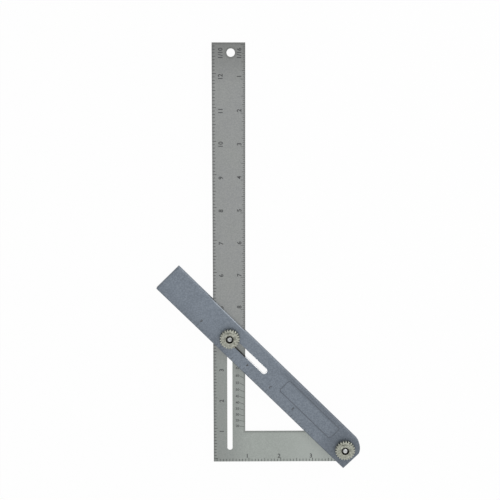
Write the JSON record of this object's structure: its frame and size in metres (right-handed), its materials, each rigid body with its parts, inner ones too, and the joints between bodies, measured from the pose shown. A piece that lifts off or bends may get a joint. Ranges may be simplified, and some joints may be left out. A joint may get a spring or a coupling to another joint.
{
  "type": "pivoting carpenter square",
  "caption": "L-shaped steel square with graduated edges and a two-bar fence that pivots on the short leg and clamps in a slot of the long leg with toothed thumb nuts.",
  "frame": {"origin": "under the middle of the tool's box, on the bench it lies on", "axes": "+Y up the long leg, +X from the heel along the short leg, +Z out of the front face towards the thumb nuts"},
  "size_m": [0.16, 0.3354, 0.0122],
  "materials": {
    "blade_steel": "satin sheet steel, greenish grey, with dark filled graduations",
    "fence_coat": "steel bars with a thin blue-grey coat, fine matt grain",
    "bolt_steel": "bright zinc-plated steel",
    "nut_brass": "pale satin brass, nickel-like, slightly brushed"
  },
  "bodies": {
    "square": {"square_blade": "blade_steel"},
    "fence": {"front_fence": "fence_coat", "rear_fence": "fence_coat", "pivot_bolt": "bolt_steel", "pivot_washer": "bolt_steel"},
    "pivot_thumb_nut": {"pivot_nut": "nut_brass"},
    "lock": {"lock_bolt": "bolt_steel", "lock_washer": "bolt_steel"},
    "lock_thumb_nut": {"lock_nut": "nut_brass"}
  },
  "joints": [
    {"name": "fence_pivot", "type": "hinge", "parent": "square", "child": "fence", "pos_m": [0.06778, -0.15101, 0.0031], "axis": [0, 0, 1], "range_deg": [0, 45.2]},
    {"name": "lock_slide", "type": "slide", "parent": "fence", "child": "lock", "axis": [0.7046, -0.7096, 0], "range_m": [0, 0.03823]},
    {"name": "pivot_nut_turn", "type": "hinge", "parent": "fence", "child": "pivot_thumb_nut", "pos_m": [0.06778, -0.15101, 0.009], "axis": [0, 0, 1], "range_deg": [0, 180]},
    {"name": "lock_nut_turn", "type": "hinge", "parent": "lock", "child": "lock_thumb_nut", "pos_m": [-0.02342, -0.05917, 0.009], "axis": [0, 0, 1], "range_deg": [0, 180]}
  ],
  "couplings": [
    {"joint": "lock_slide", "follows": "fence_pivot", "m_per_rad": 0.04846}
  ]
}
